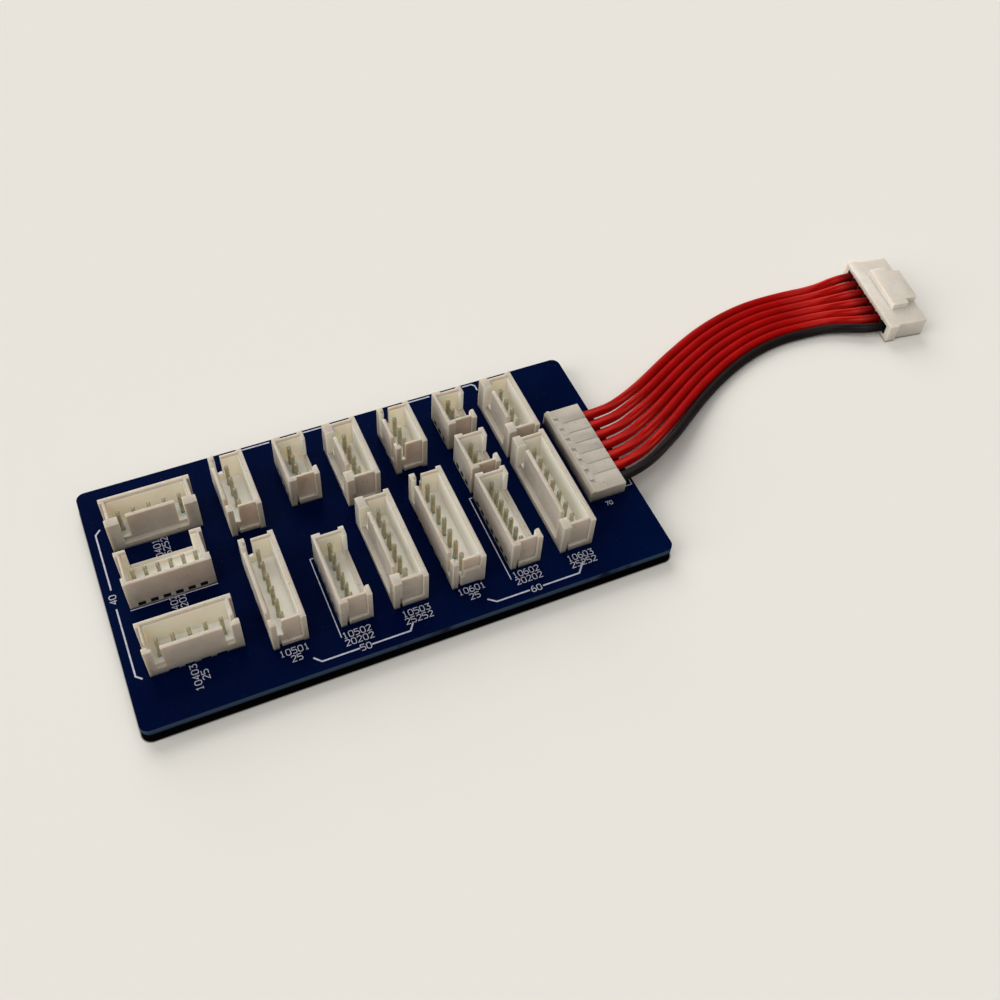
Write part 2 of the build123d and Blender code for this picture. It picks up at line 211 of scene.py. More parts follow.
def spline_line(points):
    """Points along the smooth spline that has the given control points, in metres."""
    curve = bpy.data.curves.new("route", "CURVE")
    curve.dimensions = "3D"
    spline = curve.splines.new("NURBS")
    spline.points.add(len(points) - 1)
    for target, point in zip(spline.points, points):
        target.co = (*(value * mm for value in point), 1)
    spline.order_u = 3
    spline.use_endpoint_u = True
    spline.resolution_u = 12
    route = bpy.data.objects.new("route", curve)
    mesh = bpy.data.meshes.new_from_object(route)
    line = rows(mesh.vertices, "co")
    bpy.data.meshes.remove(mesh)
    bpy.data.objects.remove(route)
    bpy.data.curves.remove(curve)
    return line


def tube(line, radius, sides):
    """A ring of points square to the line at each of its points: the line's point plus the radius
    times (side cos turn + up sin turn)."""
    along = np.gradient(line, axis=0)
    along /= np.linalg.norm(along, axis=1, keepdims=True)
    side = np.cross(along, (0, 0, 1))
    side /= np.linalg.norm(side, axis=1, keepdims=True)
    up = np.cross(side, along)
    turn = (np.arange(sides) * 2 * np.pi / sides)[None, :, None]
    points = line[:, None, :] + radius * (side[:, None, :] * np.cos(turn) + up[:, None, :] * np.sin(turn))
    return points.reshape(-1, 3), ring_faces(len(line), sides)


def add_wire_places(mesh, line, sides):
    """A UV map for patterns on a tube: u round it and v along it, both in millimetres. A face that
    closes the ring takes its first spoke's u as a whole turn."""
    steps = np.linalg.norm(np.diff(line, axis=0), axis=1) / mm
    lengths = np.concatenate([[0], np.cumsum(steps)])
    corners = np.empty(len(mesh.loops), dtype=int)
    mesh.loops.foreach_get("vertex_index", corners)
    ring, spoke = corners // sides, corners % sides
    starts = np.empty(len(mesh.polygons), dtype=int)
    totals = np.empty(len(mesh.polygons), dtype=int)
    mesh.polygons.foreach_get("loop_start", starts)
    mesh.polygons.foreach_get("loop_total", totals)
    face = np.repeat(np.arange(len(totals)), totals)
    first = np.minimum.reduceat(spoke, starts)[face]
    last = np.maximum.reduceat(spoke, starts)[face]
    wraps = (last - first > 1) & (totals[face] == 4) & (spoke == 0)
    around = np.where(wraps, sides, spoke) / sides * math.pi * wire_width
    places = np.stack([around, lengths[ring]], axis=1)
    layer = mesh.uv_layers.new(name="sheath")
    layer.data.foreach_set("uv", places.ravel())


def make_wire(node, line):
    """The tube that stands for a wire's CAD node."""
    points, faces = tube(line, wire_width / 2 * mm, wire_sides)
    wire = finished(node.replace("wire", "lead"), points / mm, faces)
    outward(wire)
    add_wire_places(wire.data, line, wire_sides)
    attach(wire, "root")
    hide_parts(node)
    return wire


wire_lines = {rank: spline_line(wire_points(rank)) for rank in wire_lengths}
wires = {}
for rank, line in wire_lines.items():
    name = "wire_black" if rank == -3 else f"wire_red_{rank + 3}"
    wires[rank] = make_wire(name, line)


# Node helpers, for materials and groups alike

def add(tree, kind, links=None, **settings):
    """A node with its settings, and with its named inputs set to values or linked from outputs."""
    node = tree.nodes.new(kind)
    for key, value in settings.items():
        setattr(node, key, value)
    for label, value in (links or {}).items():
        socket = node.inputs[label]
        if isinstance(value, bpy.types.NodeSocket):
            tree.links.new(value, socket)
        else:
            socket.default_value = value
    return node


def worked(tree, operation, *values, clamp=False):
    """The result of a Math node on the values."""
    node = add(tree, "ShaderNodeMath", dict(enumerate(values)), operation=operation, use_clamp=clamp)
    return node.outputs["Value"]


def ranged(tree, value, low, high, low_in=0.3, high_in=0.7):
    """The value's range low_in to high_in, stretched to low to high and held at both ends. A noise
    stays mostly between 0.3 and 0.7."""
    sockets = {"Value": value, "From Min": low_in, "From Max": high_in, "To Min": low, "To Max": high}
    return add(tree, "ShaderNodeMapRange", sockets).outputs["Result"]


def share(tree, value, none, full):
    """0 up to where the value is none, rising to 1 from where it is full."""
    return ranged(tree, value, 0.0, 1.0, none, full)


def within(tree, size, full, none):
    """1 up to the size full and 0 from the size none on, both in millimetres."""
    return share(tree, size, none * mm, full * mm)


def noise(tree, place, scale, detail, roughness=0.5):
    """The value of a noise with about scale bumps along a unit of the place."""
    sockets = {"Vector": place, "Scale": scale, "Detail": detail, "Roughness": roughness}
    return add(tree, "ShaderNodeTexNoise", sockets).outputs["Fac"]


def bumped(tree, height, strength, rise):
    """The normal of a surface on which a height of 1 rises so many millimetres."""
    sockets = {"Height": height, "Strength": strength, "Distance": rise * mm}
    return add(tree, "ShaderNodeBump", sockets).outputs["Normal"]


def split_up(tree, vector):
    """The X, Y and Z of a vector."""
    return add(tree, "ShaderNodeSeparateXYZ", {"Vector": vector}).outputs


def mixed(tree, factor, first, second):
    """A colour between the first and the second, each a colour or an output."""
    node = add(tree, "ShaderNodeMix", {0: factor}, data_type="RGBA")
    for index, value in ((6, first), (7, second)):
        if isinstance(value, bpy.types.NodeSocket):
            tree.links.new(value, node.inputs[index])
        else:
            node.inputs[index].default_value = (*value, 1)
    return node.outputs[2]


# Effects shared by the materials, as groups that give out masks, values and normals. Patterns on
# Object coordinates have their scales per metre

def new_group(name, inputs):
    """A node group whose inputs are the named numbers, and the sockets that bring them in."""
    group = bpy.data.node_groups.new(name, "ShaderNodeTree")
    for label, value in inputs.items():
        socket = group.interface.new_socket(label, in_out="INPUT", socket_type="NodeSocketFloat")
        socket.default_value = value
    return group, group.nodes.new("NodeGroupInput").outputs


def give_out(group, results):
    """Make the named results the group's outputs. They are numbers, apart from the normal."""
    for label in results:
        kind = "NodeSocketVector" if label == "Normal" else "NodeSocketFloat"
        group.interface.new_socket(label, in_out="OUTPUT", socket_type=kind)
    leave = group.nodes.new("NodeGroupOutput")
    for label, result in results.items():
        group.links.new(result, leave.inputs[label])


def make_moulding_group():
    """Moulded plastic: broad clouding, fine grain for the bump, sparse dark specks, and the mask of a
    painted shade over the lowest half millimetre, where it stands on something at the height Foot."""
    inputs = {
        "Cloud Scale": 350.0,
        "Speck Scale": 2600.0,
        "Grain Scale": 9000.0,
        "Grain Height": 0.15,
        "Foot": -1.0,
    }
    group, given = new_group("moulding", inputs)
    place = add(group, "ShaderNodeTexCoord").outputs["Object"]
    speck = noise(group, place, given["Speck Scale"], 2.0)
    grain = noise(group, place, given["Grain Scale"], 3.0)
    above_foot = worked(group, "SUBTRACT", split_up(group, place)["Z"], given["Foot"])
    results = {
        "Cloud": noise(group, place, given["Cloud Scale"], 4.0, 0.6),
        "Speck": share(group, speck, 0.66, 0.78),
        "Foot Shade": within(group, above_foot, 0.1, 0.6),
        "Normal": bumped(group, grain, given["Grain Height"], 0.03),
    }
    give_out(group, results)
    return group


def make_metal_group():
    """Drawn and tinned metal: fine streaks along z, dull patches, the mask of the faces that look up,
    which are painted darker as shade over their highlights, and a slight waviness."""
    inputs = {"Streak Scale": 3000.0, "Patch Scale": 900.0, "Wave Height": 0.2}
    group, given = new_group("tinned_metal", inputs)
    where = add(group, "ShaderNodeTexCoord").outputs
    stretched = add(group, "ShaderNodeMapping", {"Vector": where["Object"], "Scale": (1.0, 1.0, 0.12)})
    streak = noise(group, stretched.outputs["Vector"], given["Streak Scale"], 3.0)
    results = {
        "Dull": streak,
        "Tarnish": noise(group, where["Object"], given["Patch Scale"], 3.0),
        # Mask of the faces that look up, which are painted darker as shade
        "Upward Shade": share(group, split_up(group, where["Normal"])["Z"], 0.35, 0.75),
        "Normal": bumped(group, streak, given["Wave Height"], 0.02),
    }
    give_out(group, results)
    return group


def make_laminate_group():
    """The circuit board: its cut edges, clouding and dust, the faint weave under the mask, and on the
    cut edges the layers of the core, a painted shade over their low part, and stains. The weave is
    the product of two sines, and the layers are a sine of the height, one layer to every fifth of a
    millimetre."""
    inputs = {
        "Weave Scale": 900.0,
        "Weave Height": 0.12,
        "Layer Scale": 30000.0,
        "Cloud Scale": 60.0,
        "Dust Scale": 4200.0,
        "Stain Scale": 170.0,
    }
    group, given = new_group("laminate", inputs)
    where = add(group, "ShaderNodeTexCoord").outputs
    place = where["Object"]
    split = split_up(group, place)
    upright = worked(group, "ABSOLUTE", split_up(group, where["Normal"])["Z"])
    waves = []
    for axis in "XY":
        turns = worked(group, "MULTIPLY", split[axis], given["Weave Scale"])
        waves.append(worked(group, "SINE", worked(group, "MULTIPLY", turns, 2 * math.pi)))
    weave = worked(group, "MULTIPLY", *waves)
    layer = worked(group, "MULTIPLY", split["Z"], given["Layer Scale"])
    stain = ranged(group, noise(group, place, given["Stain Scale"], 2.0, 0.4), 0.0, 0.8, 0.56, 0.66)
    results = {
        "Edge": share(group, upright, 0.75, 0.55),
        "Cloud": noise(group, place, given["Cloud Scale"], 5.0, 0.55),
        "Dust": share(group, noise(group, place, given["Dust Scale"], 2.0), 0.7, 0.8),
        "Layer": worked(group, "SINE", layer),
        # Painted shade over the low part of the cut edges, together with the real stains
        "Low Shade And Stain": worked(group, "MAXIMUM", within(group, split["Z"], 1.9, 2.4), stain),
        "Normal": bumped(group, weave, given["Weave Height"], 0.01),
    }
    give_out(group, results)
    return group


def make_jacket_group():
    """A wire's jacket: glossy streaks that follow the wire near its two ends, from the map in
    millimetres round and along it, and the painted shade close to the plug. The streaks set both
    the coat's gloss and a painted highlight."""
    group, given = new_group("jacket", {"Length": 80.0})
    place = add(group, "ShaderNodeUVMap", uv_map="sheath").outputs["UV"]
    stretched = add(group, "ShaderNodeMapping", {"Vector": place, "Scale": (1.3, 0.07, 1.0)})
    streak = share(group, noise(group, stretched.outputs["Vector"], 1.0, 3.0), 0.42, 0.62)
    along = split_up(group, place)["Y"]
    left = worked(group, "SUBTRACT", given["Length"], along)
    near_end = ranged(group, worked(group, "MINIMUM", along, left), 1.0, 0.04, 10.0, 20.0)
    # Where the painted shade lies, close to the plug
    shade = share(group, left, 4.7, 1.7)
    lit = worked(group, "SUBTRACT", near_end, shade, clamp=True)
    # Gloss sets the coat's gloss and places the painted highlight
    give_out(group, {"Gloss": worked(group, "MULTIPLY", streak, lit), "Shade": shade})
    return group


moulding = make_moulding_group()
tinned_metal = make_metal_group()
laminate = make_laminate_group()
jacket = make_jacket_group()


# Materials. Colours are linear red, green and blue

# Painted light: the paler colour of the faces in the shrouds' cavities and slots
painted_cavity_light = (0.86, 0.82, 0.745)
# Painted shade at the moulded pieces' feet
painted_foot_shade_colour = (0.06, 0.05, 0.04)
# Painted shade: the dark colour of the gaps and windows of the feet and of the plug's bores
painted_gap_shade = (0.006, 0.005, 0.004)
# Painted shade on the plug's wire end, between the wires
painted_plug_end_shade = (0.03, 0.006, 0.005)
# How strongly the painted shade at the feet is laid on
foot_shade_strength = 0.65
# How strongly the painted highlight lies on the wires' glossy streaks
highlight_strength = 0.8
# How strongly the painted shade lies on the wires close to the plug
shade_strength = 0.75

# The box of painted shade on the plug's wire end: where the shade begins to fade and where it ends
plug_end_skin = (0.02, 0.06)
plug_end_rise = (0.9, 1.05)
plug_end_reach = (8.3, 8.5)


def new_material(name, **constants):
    """A material with one Principled shader, whose named sockets take the constants."""
    material = bpy.data.materials.new(name)
    material.use_nodes = True
    tree = material.node_tree
    for label, value in constants.items():
        tree.nodes["Principled BSDF"].inputs[label.replace("_", " ")].default_value = value
    return material, tree


def use(tree, group, **values):
    """The outputs of the group, placed in the tree with its own values."""
    node = add(tree, "ShaderNodeGroup", node_tree=group)
    for label, value in values.items():
        node.inputs[label.replace("_", " ")].default_value = value
    return node.outputs


def feed(tree, results):
    """Link each result to the shader's socket of that name."""
    for label, result in results.items():
        tree.links.new(result, tree.nodes["Principled BSDF"].inputs[label])


def clouded(tree, surface, first, second):
    """A colour that drifts between the first and the second with the surface's clouding."""
    return mixed(tree, share(tree, surface["Cloud"], 0.3, 0.7), first, second)


def behind_plug(tree):
    """The mask of the painted shade: 1 on the plug's wire end between the wires and 0 elsewhere. The
    place is turned into the plug's own frame, where it is along, across and up, and lies in a flat
    box on that end."""
    place = add(tree, "ShaderNodeTexCoord").outputs["Object"]
    c, s = math.cos(plug_turn), math.sin(plug_turn)
    x, y = plug_place
    start = (-(c * x + s * y) * mm, (s * x - c * y) * mm, -plug_height * mm)
    back_turn = (0, 0, -plug_turn)
    own = add(tree, "ShaderNodeMapping", {"Vector": place, "Rotation": back_turn, "Location": start})
    split = split_up(tree, own.outputs["Vector"])
    on_end = within(tree, split["X"], *plug_end_skin)
    near_height = within(tree, worked(tree, "ABSOLUTE", split["Z"]), *plug_end_rise)
    near_middle = within(tree, worked(tree, "ABSOLUTE", split["Y"]), *plug_end_reach)
    return worked(tree, "MINIMUM", worked(tree, "MINIMUM", on_end, near_height), near_middle)


def make_nylon(name, light, shade, speck, roughness, foot, shaded_end=False):
    """Moulded nylon: a clouded colour, sparse specks, a fine grain, a painted shade at the foot and a
    little light let through. The faces marked by mark_pockets and mark_bores are painted paler in a
    cavity, as light, and painted dark in a gap, as shade; with shaded_end, a painted shade lies on
    the plug's wire end between the wires."""
    material, tree = new_material(
        name,
        Subsurface_Weight=1.0,
        Subsurface_Scale=1.6 * mm,
        Subsurface_Radius=(1.0, 0.75, 0.5),
        Specular_IOR_Level=0.35,
    )
    surface = use(tree, moulding, Cloud_Scale=420.0, Grain_Scale=9000.0, Grain_Height=0.15, Foot=foot * mm)
    base = clouded(tree, surface, shade, light)
    base = mixed(tree, surface["Speck"], base, speck)
    mark = add(tree, "ShaderNodeAttribute", attribute_name="pocket").outputs["Fac"]
    # Painted shade over the lowest half millimetre of the moulding
    foot_shade = ranged(tree, surface["Foot Shade"], 0.0, foot_shade_strength, 0.0, 1.0)
    # Painted light: the cavity faces are paler
    base = mixed(tree, share(tree, mark, 0.0, 1.0), base, painted_cavity_light)
    base = mixed(tree, foot_shade, base, painted_foot_shade_colour)
    # Painted shade: the gaps, windows and bores are dark
    base = mixed(tree, share(tree, mark, 0.0, -1.0), base, painted_gap_shade)
    if shaded_end:
        # Painted shade on the plug's wire end
        base = mixed(tree, behind_plug(tree), base, painted_plug_end_shade)
    rough = ranged(tree, surface["Cloud"], roughness + 0.08, roughness - 0.08)
    feed(tree, {"Base Color": base, "Roughness": rough, "Normal": surface["Normal"]})
    return material


def make_metal(name, bright, tarnished, upward_shade_colour, smoothest, roughest, wave):
    """Tinned metal, dull in patches and streaks, with the faces that look up painted darker, as shade
    over their highlights.
    """
    material, tree = new_material(name, Metallic=1.0)
    surface = use(tree, tinned_metal, Wave_Height=wave)
    side = mixed(tree, share(tree, surface["Tarnish"], 0.42, 0.68), bright, tarnished)
    # Faces that look up painted darker, as shade over their highlights
    base = mixed(tree, surface["Upward Shade"], side, upward_shade_colour)
    rough = ranged(tree, surface["Dull"], smoothest, roughest)
    feed(tree, {"Base Color": base, "Roughness": rough, "Normal": surface["Normal"]})
    return material


def make_board_material():
    """Blue solder mask on the faces and bare dark laminate, in thin layers, on the cut edges, whose
    low part is painted near black as shade.
    """
    material, tree = new_material("board_mask", Specular_IOR_Level=0.004)
    surface = use(tree, laminate, Weave_Scale=900.0, Weave_Height=0.12)
    mask = clouded(tree, surface, (0.0001, 0.0026, 0.024), (0.0006, 0.0048, 0.031))
    dusty = mixed(tree, surface["Dust"], mask, (0.06, 0.065, 0.09))
    layer = share(tree, surface["Layer"], -1.0, 1.0)
    core = mixed(tree, layer, (0.026, 0.046, 0.088), (0.05, 0.078, 0.125))
    # The cut edges' low part painted near black as shade, and their stains
    side = mixed(tree, surface["Low Shade And Stain"], core, (0.001, 0.002, 0.006))
    base = mixed(tree, surface["Edge"], dusty, side)
    rough = ranged(tree, surface["Edge"], 0.28, 0.75, 0.0, 1.0)
    feed(tree, {"Base Color": base, "Roughness": rough, "Normal": surface["Normal"]})
    return material


def make_ink():
    """White ink, thin enough to let some blue through, with a fine rough grain."""
    material, tree = new_material("printed_ink")
    surface = use(tree, moulding, Cloud_Scale=1500.0, Grain_Scale=12000.0, Grain_Height=0.3)
    base = clouded(tree, surface, (0.34, 0.34, 0.43), (0.55, 0.55, 0.62))
    rough = ranged(tree, surface["Cloud"], 0.75, 0.5)
    feed(tree, {"Base Color": base, "Roughness": rough, "Normal": surface["Normal"]})
    return material


def make_sheath(name, light, shade, dark, highlight_colour, roughness, gloss):
    """The soft jacket of a wire: clouded along its length, faintly rippled, with glossy streaks where
    it is bent, which carry a painted highlight, and a painted shade close to the plug."""
    material, tree = new_material(name, Specular_IOR_Level=0.04, Coat_Roughness=0.22)
    surface = use(tree, moulding, Cloud_Scale=220.0, Grain_Scale=3500.0, Grain_Height=0.25)
    wear = use(tree, jacket, Length=tube_length)
    base = clouded(tree, surface, shade, light)
    # Painted highlight along the glossy streaks
    base = mixed(tree, ranged(tree, wear["Gloss"], 0.0, highlight_strength, 0.0, 1.0), base, highlight_colour)
    # Painted shade close to the plug
    base = mixed(tree, ranged(tree, wear["Shade"], 0.0, shade_strength, 0.0, 1.0), base, dark)
    coat = ranged(tree, wear["Gloss"], 0.0, gloss, 0.0, 1.0)
    rough = ranged(tree, surface["Cloud"], roughness + 0.1, roughness - 0.05)
    feed(tree, {"Base Color": base, "Coat Weight": coat, "Roughness": rough, "Normal": surface["Normal"]})
    return material


ivory = make_nylon(
    "header_nylon",
    light=(0.505, 0.463, 0.405),
    shade=(0.445, 0.403, 0.34),
    speck=(0.2, 0.16, 0.11),
    roughness=0.42,
    foot=board_top,
)
white = make_nylon(
    "plug_nylon",
    light=(0.68, 0.635, 0.57),
    shade=(0.62, 0.57, 0.5),
    speck=(0.3, 0.25, 0.18),
    roughness=0.4,
    foot=0.0,
    shaded_end=True,
)
pin_metal = make_metal(
    "pin_tin",
    bright=(0.5, 0.47, 0.35),
    tarnished=(0.38, 0.35, 0.24),
    upward_shade_colour=(0.22, 0.2, 0.15),
    smoothest=0.5,
    roughest=0.7,
    wave=0.2,
)
solder_metal = make_metal(
    "solder_tin",
    bright=(0.62, 0.62, 0.62),
    tarnished=(0.45, 0.45, 0.44),
    upward_shade_colour=(0.5, 0.5, 0.5),
    smoothest=0.18,
    roughest=0.4,
    wave=0.35,
)
board_mask = make_board_material()
printed_ink = make_ink()
red_sheath = make_sheath(
    "red_sheath",
    light=(0.37, 0.0016, 0.0012),
    shade=(0.26, 0.001, 0.0008),
    # Colour of the painted shade close to the plug
    dark=(0.03, 0.0004, 0.0004),
    # Colour of the painted highlight
    highlight_colour=(0.62, 0.02, 0.012),
    roughness=0.36,
    gloss=0.45,
)
black_sheath = make_sheath(
    "black_sheath",
    light=(0.009, 0.006, 0.0065),
    shade=(0.005, 0.004, 0.004),
    # Colour of the painted shade close to the plug
    dark=(0.001, 0.001, 0.001),
    # Colour of the painted highlight
    highlight_colour=(0.02, 0.018, 0.018),
    roughness=0.4,
    gloss=0.15,
)

for wire in wires.values():
    wire.data.materials.append(black_sheath if "black" in wire.name else red_sheath)


# Shrouds, pins and housings: the solids' own forms with their edges rounded

merge_distance = 0.002
touching = 0.01
shroud_rounding = 0.1
pin_rounding = 0.05
housing_rounding = 0.06

# Where the marked faces of a shroud lie: in from its outside, down from its rim and up from its foot
skin = 0.05
wall_inset = 0.3
floor_inset = 0.6
window_inset = 0.9
rim = 0.2
cavity_foot = 1.4
foot_gap = 0.4
window_top = 1.25
barely_outwards = -0.3

# Where the bores of the plug lie: in from its wire end, its sides and its sole, and below the roof
bore_length = 3.0
bore_roof = 3.3
plug_sole = 0.3
plug_cheek = 0.8


def softened(node, material, radius, segments=2, whole_faces=True):
    """A copy of a node's mesh, merged, with its edges rounded. Flat faces are joined, apart from
    those of a piece with round holes in them."""
    mesh = nodes[node].data.copy()
    work = bmesh.new()
    work.from_mesh(mesh)
    bmesh.ops.remove_doubles(work, verts=work.verts, dist=merge_distance * mm)
    if whole_faces:
        bmesh.ops.dissolve_limit(work, angle_limit=math.radians(1), verts=work.verts, edges=work.edges)
    work.to_mesh(mesh)
    work.free()
    mesh.materials.clear()
    mesh.materials.append(material)
    mesh.shade_smooth()
    piece = bpy.data.objects.new("soft_" + node, mesh)
    bpy.context.collection.objects.link(piece)
    bevel = piece.modifiers.new("edges", "BEVEL")
    bevel.width = radius * mm
    bevel.segments = segments
    bevel.limit_method = "ANGLE"
    bevel.angle_limit = math.radians(30)
    bevel.harden_normals = True
    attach(piece, "root")
    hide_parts(node)
    return piece


def mark_faces(mesh, marks):
    """Keep one number for each face, which the nylon's material reads."""
    layer = mesh.attributes.new("pocket", "FLOAT", "FACE")
    layer.data.foreach_set("value", marks)


def mark_pockets(piece):
    """Mark each face of a shroud for painted light and shade: 1 in the cavity and the slots, which are
    painted paler as light, -1 in the gaps and windows of the foot, which are painted dark as shade,
    0 outside. A face is in the cavity when it lies inside the walls and looks up or inwards: its
    normal times the way to the middle is then above barely_outwards."""
    centres = rows(piece.data.polygons, "center") / mm
    normals = rows(piece.data.polygons, "normal")
    corners = rows(piece.data.vertices, "co") / mm
    low, high = corners.min(axis=0), corners.max(axis=0)
    depth = np.minimum(centres - low, high - centres)[:, :2]
    long_axis = int(np.argmax((high - low)[:2]))
    from_end, from_side = depth[:, long_axis], depth[:, 1 - long_axis]
    height = centres[:, 2] - low[2]
    rise = high[2] - low[2]
    towards_middle = (low + high)[:2] / 2 - centres[:, :2]
    inwards = np.sum(normals[:, :2] * towards_middle, axis=1) > barely_outwards
    looks_up = normals[:, 2] > 0.5
    looks_down = normals[:, 2] < -0.5
    inside = (from_end > wall_inset) & (from_side > wall_inset)
    deep = (from_end > floor_inset) & (from_side > floor_inset)
    in_reach = (height > cavity_foot) & (height < rise - rim)
    cavity = inside & inwards & in_reach & (~looks_up | deep)
    outside = (from_end < skin) | (from_side < skin)
    under_foot = (height < foot_gap + skin) & ~looks_down
    in_window = (height < window_top + skin) & (from_end > window_inset)
    gap = ~outside & (under_foot | in_window) & (height > touching)
    mark_faces(piece.data, np.where(cavity, 1.0, np.where(gap, -1.0, 0.0)))


def mark_bores(piece):
    """Mark the faces within the plug that lie behind its wire end, where no light reaches, to be
    painted dark as shade.
    """
    places = rows(piece.data.polygons, "center") / mm - (*plug_place, 0)
    c, s = math.cos(plug_turn), math.sin(plug_turn)
    along = places[:, 0] * c + places[:, 1] * s
    across = np.abs(places[:, 1] * c - places[:, 0] * s)
    height = places[:, 2]
    inside = (along > along.min() + skin) & (along < along.min() + bore_length)
    inside &= across < across.max() - plug_cheek
    inside &= (height > height.min() + plug_sole) & (height < bore_roof)
    mark_faces(piece.data, np.where(inside, -1.0, 0.0))


for node in nodes:
    if node.startswith("header_"):
        shroud = softened(node, ivory, shroud_rounding)
        mark_pockets(shroud)
    elif node.startswith("pins_"):
        softened(node, pin_metal, pin_rounding, segments=1)
softened("output_housing", ivory, housing_rounding, whole_faces=False)
plug = softened("plug_housing", white, housing_rounding, whole_faces=False)
mark_bores(plug)


def dress(node, material):
    """Give a CAD node that is kept its finished material."""
    for slot in nodes[node].material_slots:
        slot.material = material


dress("board", board_mask)
dress("plug_contacts", pin_metal)
dress("output_contacts", pin_metal)


# Solder joints: a hollow-sided cone of solder round each tail, and its tip

pad_radius = 0.95
tail_radius = 0.36
tip_radius = 0.2
cone_height = 1.15
tip_height = 1.2
cone_power = 1.6
cone_rings = 6
joint_sides = 12
tail_reach = 0.8


def tail_places():
    """Middle of each tail, from the places of the pins' lower ends, which stand on the floor."""
    places = []
    for node in list(nodes):
        if node.startswith("pins_") or node == "output_contacts":
            points = rows(nodes[node].data.vertices, "co") / mm
            ends = points[np.abs(points[:, 2]) < touching][:, :2]
            unused = np.ones(len(ends), dtype=bool)
            while unused.any():
                first = ends[np.argmax(unused)]
                close = np.max(np.abs(ends - first), axis=1) < tail_reach
                corners = np.unique(np.round(ends[close], 3), axis=0)
                places.append(corners.mean(axis=0))
                unused &= ~close
    return places


def solder_joint(x, y):
    """A profile turned round the tail: the radius falls from the pad to the tail as a power of the
    height, so that the side is hollow, and the cap closes over the cut end of the tail."""
    share = np.linspace(0, 1, cone_rings)
    radius = np.append(tail_radius + (pad_radius - tail_radius) * (1 - share) ** cone_power, tip_radius)
    height = np.append(-cone_height * share, -tip_height)
    turn = np.arange(joint_sides) * 2 * np.pi / joint_sides
    across = x + radius[:, None] * np.cos(turn)
    back = y + radius[:, None] * np.sin(turn)
    up = np.broadcast_to(board_bottom + height[:, None], across.shape)
    return np.stack([across, back, up], axis=2).reshape(-1, 3), ring_faces(len(radius), joint_sides)


solder = finished("solder_cones", *joined([solder_joint(x, y) for x, y in tail_places()]), solder_metal)
outward(solder)
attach(solder, "root")
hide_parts("solder_joints")


# Printed lines and numbers, in millimetres from the board's near left corner

ink_height = 0.03
bracket_width = 0.26
outline_width = 0.16
digit_stroke = 0.14
digit_height = 1.05
row_offset = 0.7
glyph_width = 4
glyph_height = 6
glyph_step = 5.6

# Strokes of each digit on a grid of 4 by 6
digit_strokes = {
    "0": [[(1, 0), (3, 0), (4, 1), (4, 5), (3, 6), (1, 6), (0, 5), (0, 1), (1, 0)]],
    "1": [[(0.8, 4.8), (2, 6), (2, 0)], [(0.8, 0), (3.2, 0)]],
    "2": [[(0, 5), (1, 6), (3, 6), (4, 5), (4, 4), (0, 0), (4, 0)]],
    "3": [[(0, 6), (4, 6), (2, 3.6), (3, 3.6), (4, 2.6), (4, 1), (3, 0), (1, 0), (0, 1)]],
    "4": [[(3, 0), (3, 6), (0, 2), (4, 2)]],
    "5": [[(4, 6), (0, 6), (0, 3.5), (3, 3.5), (4, 2.5), (4, 1), (3, 0), (0, 0)]],
    "6": [[(3, 6), (1.5, 6), (0, 4), (0, 1), (1, 0), (3, 0), (4, 1), (4, 2.5), (3, 3.5), (0, 3.5)]],
    "7": [[(0, 6), (4, 6), (1.5, 0)]],
}
brackets = [
    [(2.4, 8.9), (1.5, 9.7), (1.5, 22.6)],
    [(1.5, 26.4), (1.5, 37.9), (2.4, 38.8)],
    [(27.5, 2.7), (28.6, 1.6), (34.8, 1.6)],
    [(36.8, 1.6), (43.3, 1.6), (44.3, 3.0)],
    [(57.0, 2.5), (58.3, 1.5), (64.2, 1.5)],
    [(66.6, 1.5), (73.3, 1.5), (74.9, 3.4)],
    [(28.8, 46.9), (33.9, 46.9)],
    [(39.9, 46.9), (43.6, 46.9)],
    [(60.3, 46.9), (64.5, 46.9)],
    [(71.0, 46.9), (72.9, 46.9), (73.4, 46.4), (73.4, 45.2)],
]
outlines = [
    [(33.3, 20.45), (32.75, 20.45), (32.75, 4.5)],
    [(62.75, 22.4), (62.2, 22.4), (62.2, 4.5)],
    [(3.5, 21.48), (17.6, 21.48)],
    [(88.2, 14.95), (90.25, 14.95), (90.25, 16.1)],
]

# Two rows of digits, the label's middle and its turn in degrees
labels = [
    ("10401", "25252", 11.0, 31.2, 90),
    ("10402", "20202", 10.9, 19.5, 90),
    ("10403", "25", 10.7, 6.1, 90),
    ("10501", "25", 25.2, 4.4, 0),
    ("10502", "20202", 35.35, 3.95, 0),
    ("10503", "25252", 45.5, 4.1, 0),
    ("10601", "25", 55.4, 4.6, 0),
    ("10602", "20202", 65.1, 4.4, 0),
    ("10603", "25252", 75.0, 4.0, 0),
]

# One row of digits, its middle, its turn in degrees and its height
group_numbers = [
    ("40", 1.4, 24.5, 90, 1.05),
    ("50", 35.8, 1.6, 0, 1.05),
    ("60", 65.4, 1.5, 0, 1.05),
    ("70", 84.6, 12.7, 0, 0.75),
]


def printed(path, width):
    """A closed strip of ink on the board along a path."""
    half = width / 2
    ink_top = board_top + ink_height
    profile = [(-half, board_top), (half, board_top), (half, ink_top), (-half, ink_top)]
    return carried(profile, np.asarray(path, dtype=float) + (board_left, board_near))


